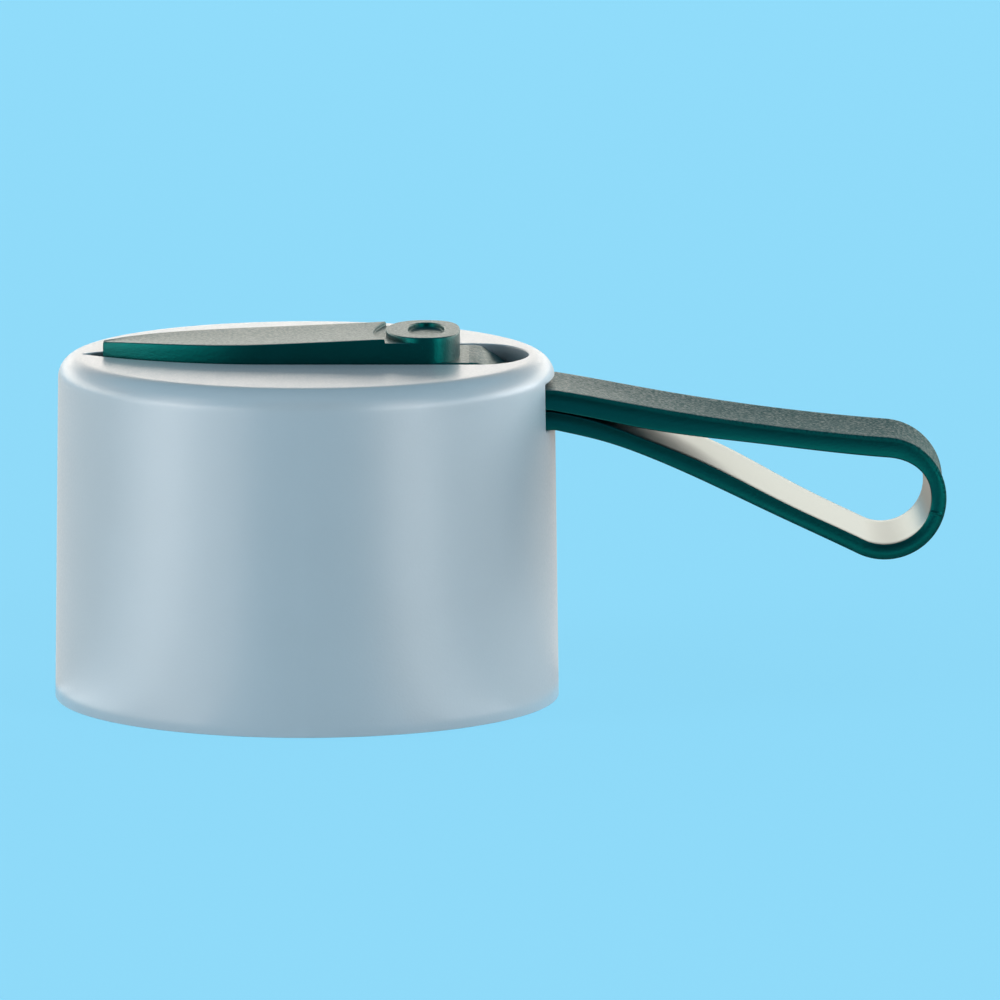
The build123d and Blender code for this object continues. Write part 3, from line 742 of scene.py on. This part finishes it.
def buttonRings():
    # from a foot inside the blade up the wall, over the rounded edge, across the top to the dish and down
    # into its middle
    high = top + lever["buttonRise"]
    low = top - lever["buttonFootDrop"]
    floor = high - lever["dishDepth"]
    e, d = lever["buttonEdgeRound"], lever["dishEdgeRound"]
    fillet = 1.5 * d
    powers = (lever["buttonFrontPower"], lever["buttonRearPower"])
    dishPowers = (lever["dishPower"], lever["dishPower"])
    outer = lambda inset: eggOutline(
        lever["buttonX"], lever["buttonHalfLength"] - inset, lever["buttonHalfWidth"] - inset, *powers
    )
    dish = lambda inset: eggOutline(
        lever["dishX"], lever["dishHalfLength"] - inset, lever["dishHalfWidth"] - inset, *dishPowers
    )
    rings = [(outer(0), z) for z in np.linspace(low, high - e, 8)]
    rings += [(outer(e * (1 - cos(a))), high - e + e * sin(a)) for a in quarter(7)[1:]]
    start, stop = outer(e), dish(-d)
    rings += [(start + (stop - start) * f, high) for f in np.linspace(0, 1, 9)[1:]]
    rings += [(dish(-d * (1 - sin(a))), high - d * (1 - cos(a))) for a in quarter(5)[1:]]
    draft = lever["dishDraft"]
    rings += [(dish(draft), floor + fillet)]
    rings += [(dish(draft + fillet * (1 - cos(a))), floor + fillet * (1 - sin(a))) for a in quarter(5)[1:]]
    rings += [(dish(inset), floor) for inset in lever["dishFloorInsets"]]
    return np.array([np.column_stack([ring, np.full(len(ring), z)]) for ring, z in rings])


def grainByFacing(surfaces, faceShare, sideShare):
    # the grain's share by how far a place faces up or down: upright walls, drawn along the tool, have less
    tiny = 1e-9  # keeps a point without faces from a division by nothing
    marks = []
    for points, quads in surfaces:
        a, b, c, d = (points[quads[:, k]] for k in range(4))
        normal = np.cross(c - a, d - b)
        facing = np.zeros(len(points))
        weight = np.zeros(len(points))
        np.add.at(facing, quads.ravel(), np.repeat(np.abs(normal[:, 2]), 4))
        np.add.at(weight, quads.ravel(), np.repeat(np.linalg.norm(normal, axis=1), 4))
        marks.append(sideShare + (faceShare - sideShare) * facing / np.maximum(weight, tiny))
    return {"grain": np.concatenate(marks)}


leverSurfaces = [capped(leverBody()), capped(buttonRings())]
leverPiece = makePiece(
    "lever_blade_and_button",
    leverSurfaces,
    bandRubber,
    ["stopper_lever"],
    body="lever",
    marks=grainByFacing(leverSurfaces, lever["faceGrain"], lever["sideGrain"]),
)
print("Lever made:", len(leverPiece.data.polygons), "faces")


# The carry strap. A line's points are given by X and by the drop below the shell's top; its turn is its
# direction at the shell, in degrees up from +X
strap = {
    "halfWidth": 6.4,
    "wellGap": 0.25,
    "edgeRound": 0.2,
    "rampFoot": 21.45,
    "rampUnderFoot": (21.1, 4.62),
    "rampReaches": (0.8, 0.6),
    "wellSpan": (20.9, 22.4),
    "widenSpan": (18.2, 19.2),
    "exit": (24.7, 2.71),
    "upperOuter": [(34.15, 4.41), (43.6, 5.91)],
    "upperOuterTurn": -9.0,
    "upperInner": [(43.6, 7.9), (33.0, 6.46), (28.1, 5.45), (24.2, 4.72)],
    "upperInnerTurn": 169.5,
    "lowerInner": [(24.2, 4.84), (28.1, 5.66), (31.0, 6.62), (34.15, 7.85), (38.9, 9.8), (48.35, 14.5)],
    "lowerInnerTurn": -10.0,
    "lowerOuter": [(46.0, 15.0), (38.9, 11.6), (34.15, 9.51), (29.4, 7.81), (24.7, 6.7)],
    "lowerOuterTurn": 168.0,
    "endCentre": (57.1, 13.5),
    "endRadius": 6.1,
    "topThickness": 2.0,
    "endThickness": 1.5,
    "thinTurn": 15.0,
    "topSlope": 4.3,
    "bottomSlope": 26.0,
    "rootStart": 17.2,
    "rootEnd": 22.5,
    "rootTopDrop": 3.3,
    "rootDrop": 6.7,
    "rootShift": 0.05,
    "sink": 0.17,
    "sideBulge": 0.1,
    "taperNear": 0.85,
    "taperEnd": 0.42,
    "taperSlit": 0.42,
    "endSpan": (41.0, 54.0),
    "slitSpan": (30.0, 41.0),
    "slitShare": 0.97,
    "openReach": 9.0,
    "limbTurns": (60.0, 10.0),
    "witnessTurn": -15.8,
    "witnessWidth": 0.16,
    "witnessHeight": 0.07,
    "sideGrain": 0.15,
    "nearGrain": 0.45,
    "grainSpan": (20.0, 48.0),
}
rampSteps, limbSteps, rootSteps = 26, 66, 8  # stations along each stretch of the band


def xz(points):
    # side-view points given by x and drop, as x and z
    points = np.atleast_2d(np.asarray(points, float))
    return np.column_stack([points[:, 0], top - points[:, 1]])


def evenly(line, steps):
    # the same line with its points evenly spaced
    run = np.concatenate([[0], np.cumsum(np.linalg.norm(np.diff(line, axis=0), axis=1))])
    at = np.linspace(0, run[-1], steps)
    return np.column_stack([np.interp(at, run, line[:, k]) for k in range(2)])


def bandSection(outer, inner, halfWidth, edge, sink=0.0, bulge=0.0, farShift=0.0):
    # outer and inner (stations, xz) are the band's two lines in side view; each station becomes a closed
    # section, a rectangle with rounded corners that spans the two lines and the band's width. The outer
    # face sinks by sink (1 - s^2) for a share s of the half width, the sides bulge by bulge (1 - t^2) for
    # a share t of the half thickness, and the inner face thickens evenly to farShift at the +Y side.
    # Round the section, from the outer face's -Y end: outer face, corner, +Y side, corner, inner face,
    # corner, -Y side, corner. For each column, share is its place across the flat width, out its reach
    # past that, near 0 on the outer line and 1 on the inner one, and deep its depth past near
    acrossSteps, sideSteps, cornerSteps = 13, 7, 5
    turns = quarter(cornerSteps)
    flat = np.linspace(-1, 1, acrossSteps)
    lean, fall = edge * np.sin(turns), edge * (1 - np.cos(turns))
    rise = np.linspace(0, 1, sideSteps + 2)[1:-1]
    side, corner, shortCorner = np.ones(sideSteps), np.ones(cornerSteps), np.ones(cornerSteps - 1)
    none, noneInner = np.zeros(acrossSteps), np.zeros(acrossSteps - 2)
    swell = edge + bulge * (1 - (2 * rise - 1) ** 2)
    share = [flat, shortCorner, side, corner, flat[::-1][1:-1], -corner, -side, -shortCorner]
    out = [none, lean[1:], swell, lean[::-1], noneInner, -lean, -swell, -lean[::-1][:-1]]
    near = [none, 0 * shortCorner, rise, corner, noneInner + 1, corner, rise[::-1], 0 * shortCorner]
    deep = [sink * (1 - flat**2), fall[1:], edge * (1 - 2 * rise), -fall[::-1]]
    deep += [noneInner, -fall, edge * (1 - 2 * rise[::-1]), fall[::-1][:-1]]
    share, out, near, deep = (np.concatenate(values) for values in (share, out, near, deep))
    thickness = np.linalg.norm(inner - outer, axis=1)[:, None]
    width = np.broadcast_to(np.asarray(halfWidth, float), (len(outer),))[:, None]
    shift = np.broadcast_to(np.asarray(farShift, float), (len(outer),))[:, None]
    y = share[None] * (width - edge) + out[None]
    farther = np.clip((y + width) / (2 * width), 0, 1)
    depth = near[None] + (deep[None] + shift * farther * near[None]) / thickness
    x = outer[:, :1] + (inner[:, :1] - outer[:, :1]) * depth
    z = outer[:, 1:] + (inner[:, 1:] - outer[:, 1:]) * depth
    return np.stack([x, y, z], -1), near


def openingTaper(inner, upperInner, lowerInner, limb):
    # how much the inner face rises at the +Y side on the loop's lower limb, where the mould's core
    # tapers: from taperSlit through taperNear to taperEnd at the bend, but no more than a share of the
    # gap between the limbs, which all but closes at the slit. The smaller of a and b is taken softly, as
    # (a^-6 + b^-6)^(-1/6)
    x = inner[:, 0]
    wide = 9.0  # a gap that no longer limits the taper
    ceiling = np.interp(x, upperInner[:, 0], upperInner[:, 1])
    ground = np.interp(x, lowerInner[::-1, 0], lowerInner[::-1, 1])
    isOpen = x > strap["endCentre"][0] - strap["openReach"]
    gap = strap["slitShare"] * np.where(isOpen, wide, np.clip(ceiling - ground, 0.001, None))
    nearEnd, nearSlit = strap["taperNear"] - strap["taperEnd"], strap["taperNear"] - strap["taperSlit"]
    taper = strap["taperEnd"] + nearEnd * (1 - smoothStep(x, *strap["endSpan"]))
    taper = taper - nearSlit * (1 - smoothStep(x, *strap["slitSpan"]))
    return limb * (taper**-6.0 + gap**-6.0) ** (-1 / 6)


def inBandOrder(ramp, upper, end, lower, root):
    # one line from its five stretches, with evenly spaced stations on all but the bend
    stretches = [evenly(ramp, rampSteps)[:-1], evenly(upper, limbSteps)[:-1], end[:-1]]
    return np.concatenate(stretches + [evenly(lower, limbSteps)[:-1], evenly(root, rootSteps)])


def strapLines():
    # outer and inner lines from the web, down the ramp, out along the upper limb, round the end and back
    # to the root
    slope = np.tan(radians(cap["rampAngle"]))
    startX = cap["hingeX"] + cap["hingeReach"]
    rampDrop = lambda x: (x - cap["hingeX"]) * slope
    thick = cap["bandThickness"] / cos(radians(cap["rampAngle"]))
    foot = strap["rampFoot"]
    above = xz([(startX, rampDrop(startX)), (foot, rampDrop(foot)), strap["exit"]])
    under = xz([(startX, rampDrop(startX) + thick), strap["rampUnderFoot"], strap["upperInner"][-1]])
    aboveReach, underReach = strap["rampReaches"]
    rampOuter = roundedPath(above[:, None], [aboveReach], 9)[:, 0]
    rampInner = roundedPath(under[:, None], [underReach], 9)[:, 0]
    centre = xz([strap["endCentre"]])[0]
    direction = lambda turn: np.array([cos(radians(turn)), sin(radians(turn))])
    topTurn, bottomTurn = 90 - strap["topSlope"], -90 - strap["bottomSlope"]
    # stations round the end, with more of them at the raised line
    lineTurn = np.degrees(strap["witnessWidth"] / strap["endRadius"])
    witness = strap["witnessTurn"] + lineTurn * np.linspace(-2, 2, 13)
    angles = np.sort(np.concatenate([np.linspace(topTurn, bottomTurn, 72), witness]))[::-1]
    around = np.column_stack([np.cos(np.radians(angles)), np.sin(np.radians(angles))])
    endOuter = centre + strap["endRadius"] * around
    thinner = smoothStep(-angles, -topTurn, -strap["thinTurn"])
    thin = strap["topThickness"] + (strap["endThickness"] - strap["topThickness"]) * thinner
    endInner = centre + (strap["endRadius"] - thin)[:, None] * around
    along = direction(topTurn - 90)
    back = direction(bottomTurn - 90)
    knots = np.concatenate([xz([strap["exit"]] + strap["upperOuter"]), endOuter[:1]])
    upperOuter = smoothLine(knots, direction(strap["upperOuterTurn"]), along, 200)
    knots = np.concatenate([endInner[:1], xz(strap["upperInner"])])
    upperInner = smoothLine(knots, -along, direction(strap["upperInnerTurn"]), 200)[::-1]
    knots = np.concatenate([endOuter[-1:], xz(strap["lowerOuter"])])
    lowerOuter = smoothLine(knots, back, direction(strap["lowerOuterTurn"]), 200)
    knots = np.concatenate([xz(strap["lowerInner"]), endInner[-1:]])
    lowerInner = smoothLine(knots, direction(strap["lowerInnerTurn"]), -back, 200)[::-1]
    rootOuter = xz([(strap["exit"][0], strap["rootDrop"]), (strap["rootStart"], strap["rootDrop"])])
    rootInner = xz([strap["lowerInner"][0], (strap["rootStart"], strap["lowerInner"][0][1])])
    outer = inBandOrder(rampOuter, upperOuter, endOuter, lowerOuter, rootOuter)
    inner = inBandOrder(rampInner, upperInner, endInner, lowerInner, rootInner)
    # 0 on the upper limb, 1 on the lower one
    limb = np.ones(len(outer))
    bend = rampSteps - 1 + limbSteps - 1
    limb[:bend] = 0
    limbStart, limbEnd = strap["limbTurns"]
    limb[bend : bend + len(angles) - 1] = smoothStep(-angles[:-1], -limbStart, -limbEnd)
    return outer, inner, openingTaper(inner, upperInner, lowerInner, limb)


# The web that joins the lever and the strap, thinned where it folds
web = {
    "foldHalfLength": 0.4,
    "foldThickness": 1.1,
    "topReach": 0.95,
    "foldReaches": (0.3, 0.3),
    "edgeRound": 0.22,
}


def webLines(steps=22):
    # flat behind the lever, then down the ramp; the underside is thinned at the fold
    slope = np.tan(radians(cap["rampAngle"]))
    start, end = cap["hingeX"] - cap["hingeReach"], cap["hingeX"] + cap["hingeReach"]
    foldStart, foldEnd = cap["hingeX"] - web["foldHalfLength"], cap["hingeX"] + web["foldHalfLength"]
    thick = cap["bandThickness"] / cos(radians(cap["rampAngle"]))
    endDrop = cap["hingeReach"] * slope
    upper = xz([(start, 0), (cap["hingeX"], 0), (end, endDrop)])
    fold = [(foldStart, web["foldThickness"]), (foldEnd, web["foldThickness"])]
    lower = xz([(start, cap["bandThickness"])] + fold + [(end, endDrop + thick)])
    upper = roundedPath(upper[:, None], [web["topReach"]], 14)[:, 0]
    lower = roundedPath(lower[:, None], web["foldReaches"], 8)[:, 0]
    return evenly(upper, steps), evenly(lower, steps)


def bandMarks(points, near):
    # the grain's share: strong on the outer face and growing towards the loop's end, slight on the sides
    # and nil on the inner face; the two rows that close the ends repeat the first and last rows' values
    side = strap["sideGrain"]
    share = np.interp(near, [0, 0.001, 0.999, 1], [1.0, side, side, 0.0])
    grown = smoothStep(points[..., 0], *strap["grainSpan"])
    marks = share * (strap["nearGrain"] + (1 - strap["nearGrain"]) * grown)
    return np.concatenate([marks[:1], marks, marks[-1:]]).ravel()


outer, inner, farShift = strapLines()
# in the well the band keeps clear of the teardrop, and it widens from the web's width to its own
inWell = 1 - smoothStep(outer[:, 0], *strap["wellSpan"])
tooWide = np.maximum(strap["halfWidth"] - wellHalf(outer[:, 0], strap["wellGap"]), 0)
extra = strap["halfWidth"] - cap["bandHalfWidth"]
widened = cap["bandHalfWidth"] + extra * smoothStep(outer[:, 0], *strap["widenSpan"])
isRamp = np.arange(len(outer)) < rampSteps
halfWidth = np.where(isRamp, np.minimum(strap["halfWidth"] - inWell * tooWide, widened), strap["halfWidth"])
# a raised line runs across the bend where two halves of the mould met: its height is h exp(-d^2)
endX, endDrop = strap["endCentre"]
turnThere = np.degrees(np.arctan2(outer[:, 1] - top + endDrop, outer[:, 0] - endX))
offLine = (turnThere - strap["witnessTurn"]) / np.degrees(strap["witnessWidth"] / strap["endRadius"])
ridge = strap["witnessHeight"] * np.exp(-(offLine**2)) * (outer[:, 0] > endX)
halfWidth = halfWidth + ridge
bandPoints, near = bandSection(
    outer, inner, halfWidth, strap["edgeRound"], strap["sink"], strap["sideBulge"], farShift
)
# the root starts a little later than the band ends, so that no two corners meet
rootX = np.linspace(strap["rootStart"] + strap["rootShift"], strap["rootEnd"], 6)
rootOuter = np.column_stack([rootX, np.full_like(rootX, top - strap["rootTopDrop"])])
rootInner = np.column_stack([rootX, np.full_like(rootX, top - strap["rootDrop"])])
rootPoints, rootNear = bandSection(rootOuter, rootInner, strap["halfWidth"], strap["edgeRound"])
strapPiece = makePiece(
    "carry_strap_loop",
    [capped(bandPoints), capped(rootPoints)],
    bandRubber,
    ["carry_strap"],
    marks={"grain": np.concatenate([bandMarks(bandPoints, near), bandMarks(rootPoints, rootNear)])},
)

webOuter, webInner = webLines()
webPoints, webNear = bandSection(webOuter, webInner, cap["bandHalfWidth"], web["edgeRound"])
webPiece = makePiece(
    "hinge_fold",
    [capped(webPoints)],
    bandRubber,
    ["hinge_web"],
    body=None,
    marks={"grain": bandMarks(webPoints, webNear)},
)
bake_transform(webPiece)
print("Strap and web made:", len(strapPiece.data.polygons), "faces")


# The CAD pieces that stay, with their finishes
keptFinishes = {
    "spout_deck": deckPlastic,
    "well_gasket": sealRubber,
    "deck_screws": pinSteel,
    "anchor_pin": pinSteel,
    "lever_core": corePlastic,
    "spout_plug": plugRubber,
    "vent_plug": plugRubber,
    "neck_liner": linerPlastic,
    "neck_gasket": sealRubber,
    "spout_o_ring": sealRubber,
    "vent_o_ring": sealRubber,
    "insulation_disc": discFoam,
}
for node, material in keptFinishes.items():
    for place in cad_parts[node].material_slots:
        place.material = material
print("CAD pieces finished:", len(keptFinishes))


# Stage and light, in metres. Most of what the camera sees of the floor is its own glow, so that the
# object's shadow on it is faint
stage = {
    "background": "#8ED9F8",
    "bounce": "#C9CED2",
    "glowShare": 0.85,
    "glowStrength": 1.07,
    "floorSize": 6.0,
    "floorDrop": 0.00002,
    "sky": "#F4F6F8",
    "skyStrength": 0.27,
    "glintRings": (0.0265, 0.1, 0.4, 0.98),
}


def backgroundShare(tree):
    # 1 for the rays that show the background: the camera's, and those from glossy or clear surfaces
    path = addNode(tree, "ShaderNodeLightPath")
    seen = addNode(
        tree,
        "ShaderNodeMath",
        {"operation": "MAXIMUM"},
        {0: path.outputs["Is Camera Ray"], 1: path.outputs["Is Glossy Ray"]},
    )
    return addNode(
        tree,
        "ShaderNodeMath",
        {"operation": "MAXIMUM"},
        {0: seen.outputs[0], 1: path.outputs["Is Transmission Ray"]},
    ).outputs[0]


def stageObject(name, points, quads, material):
    mesh = bpy.data.meshes.new(name)
    mesh.from_pydata(points, [], quads.tolist())
    mesh.materials.append(material)
    thing = bpy.data.objects.new(name, mesh)
    bpy.context.scene.collection.objects.link(thing)
    return thing


def stageFloor():
    # pale blue paper as the camera and reflections see it, with the object's shadow; it gives back
    # neutral light
    material, tree = newMaterial("floor_paper")
    seen = backgroundShare(tree)
    tint = addNode(
        tree,
        "ShaderNodeMix",
        {"data_type": "RGBA", 6: colour(stage["bounce"]), 7: colour(stage["background"])},
        {0: seen},
    )
    matt = addNode(tree, "ShaderNodeBsdfDiffuse", links={"Color": tint.outputs[2]})
    glow = addNode(
        tree,
        "ShaderNodeEmission",
        {"Color": colour(stage["background"]), "Strength": stage["glowStrength"]},
    )
    share = addNode(tree, "ShaderNodeMath", {"operation": "MULTIPLY", 1: stage["glowShare"]}, {0: seen})
    shader = addNode(
        tree, "ShaderNodeMixShader", links={0: share.outputs[0], 1: matt.outputs[0], 2: glow.outputs[0]}
    )
    finishMaterial(tree, shader)
    half = stage["floorSize"] / 2
    steps = 9
    line = np.linspace(-half, half, steps)
    x, y = np.meshgrid(line, line)
    points = np.stack([x, y, np.full_like(x, -stage["floorDrop"])], -1).reshape(-1, 3)
    stageObject("floor", points, gridQuads(steps, steps), material)


def emissionMaterial(name, radiance, tint):
    material, tree = newMaterial(name)
    finishMaterial(tree, addNode(tree, "ShaderNodeEmission", {"Color": colour(tint), "Strength": radiance}))
    return material


def arc(turn, spread, steps):
    # angles from the back (+Y) towards the right (+X), spread degrees wide about turn degrees
    return np.radians(np.linspace(turn - spread / 2, turn + spread / 2, steps))


def hideCloth(cloth):
    cloth.visible_camera = False
    cloth.visible_shadow = False


def softBox(name, turn, spread, low, high, distance, radiance, tint):
    # a lit cloth that stands round part of the stage, an arc of a cylinder from low to high; the camera
    # looks through it, and a black one takes light away
    steps, rows = 25, 3
    a, z = np.meshgrid(arc(turn, spread, steps), np.linspace(low, high, rows))
    points = np.stack([distance * np.sin(a), distance * np.cos(a), z], -1).reshape(-1, 3)
    material = emissionMaterial(name + "_cloth", radiance, tint)
    hideCloth(stageObject(name, points, gridQuads(rows, steps), material))


def floorGlint(name, turn, spread, rise, radiance, tint):
    # what a glossy floor would throw back of the cloth behind it: a sector of a ring just above the floor,
    # from the object's foot outwards. Only reflections show it, so the floor itself stays even
    steps, rings = 37, stage["glintRings"]
    a, r = np.meshgrid(arc(turn, spread, steps), rings)
    points = np.stack([r * np.sin(a), r * np.cos(a), np.full_like(r, rise)], -1).reshape(-1, 3)
    material = emissionMaterial(name + "_glint", radiance, tint)
    glint = stageObject(name, points, gridQuads(len(rings), steps), material)
    hideCloth(glint)
    glint.visible_diffuse = False


def studioWorld():
    world = bpy.data.worlds.new("studio_world")
    bpy.context.scene.world = world
    world.use_nodes = True
    tree = world.node_tree
    tree.nodes.clear()
    soft = addNode(
        tree, "ShaderNodeBackground", {"Color": colour(stage["sky"]), "Strength": stage["skyStrength"]}
    )
    shown = addNode(tree, "ShaderNodeBackground", {"Color": colour(stage["background"]), "Strength": 1.0})
    mix = addNode(
        tree,
        "ShaderNodeMixShader",
        links={0: backgroundShare(tree), 1: soft.outputs[0], 2: shown.outputs[0]},
    )
    addNode(tree, "ShaderNodeOutputWorld", links={"Surface": mix.outputs[0]})


stageFloor()
studioWorld()
# turn, spread, low, high, distance, radiance and colour of each cloth
softBoxes = {
    "back_cloth_low": (0, 176, 0.1, 0.42, 1.25, 3.7, "#FFF5EA"),
    "back_cloth_high": (0, 176, 0.42, 0.9, 1.25, 0.6, "#FFF5EA"),
    "left_cloth": (-116, 24, 0.0, 0.22, 1.0, 8.6, "#FFFFFF"),
    "left_cloth_high": (-116, 26, 0.22, 0.85, 1.0, 3.0, "#FFFFFF"),
    "left_wing": (-122, 66, 0.0, 0.22, 1.1, 5.0, "#FFFFFF"),
    "right_cloth": (131, 24, 0.0, 0.22, 1.0, 9.0, "#FFFFFF"),
    "right_cloth_high": (131, 26, 0.22, 0.85, 1.0, 3.0, "#FFFFFF"),
    "right_wing": (120, 64, 0.0, 0.22, 1.1, 4.7, "#FFFFFF"),
    "right_rear_cloth": (66, 36, 0.0, 0.22, 1.1, 7.0, "#FFFFFF"),
    "front_flag": (180, 50, 0.0, 1.9, 1.5, 0.0, "#000000"),
}
# turn, spread, height above the floor, radiance and colour of each glint
floorGlints = {
    "back_glint": (0, 180, 0.0004, 0.9, "#FFF5EA"),
    "left_wing_glint": (-122, 66, 0.0005, 1.8, "#FFFFFF"),
    "right_wing_glint": (110, 84, 0.0005, 0.5, "#FFFFFF"),
    "left_glint": (-116, 24, 0.0006, 3.2, "#FFFFFF"),
    "right_glint": (131, 24, 0.0006, 2.4, "#FFFFFF"),
}
for name, values in softBoxes.items():
    softBox(name, *values)
for name, values in floorGlints.items():
    floorGlint(name, *values)

# A long lens that looks down a little on the object's side, in millimetres and degrees
cameraFit = {"target": (19.16, 0, 19.46), "distance": 1200.0, "pitch": 9.1, "lens": 435.8}
camera = bpy.data.objects.new("camera", bpy.data.cameras.new("camera"))
bpy.context.scene.collection.objects.link(camera)
camera.data.lens = cameraFit["lens"]
camera.data.sensor_width = 36
target = Vector(cameraFit["target"]) * mm
pitch = radians(cameraFit["pitch"])
camera.location = target + Vector((0, -cos(pitch), sin(pitch))) * cameraFit["distance"] * mm
camera.rotation_euler = (pi / 2 - pitch, 0, 0)
bpy.context.scene.camera = camera
bpy.context.scene.view_settings.view_transform = "Standard"
print("Stage, light and camera set")
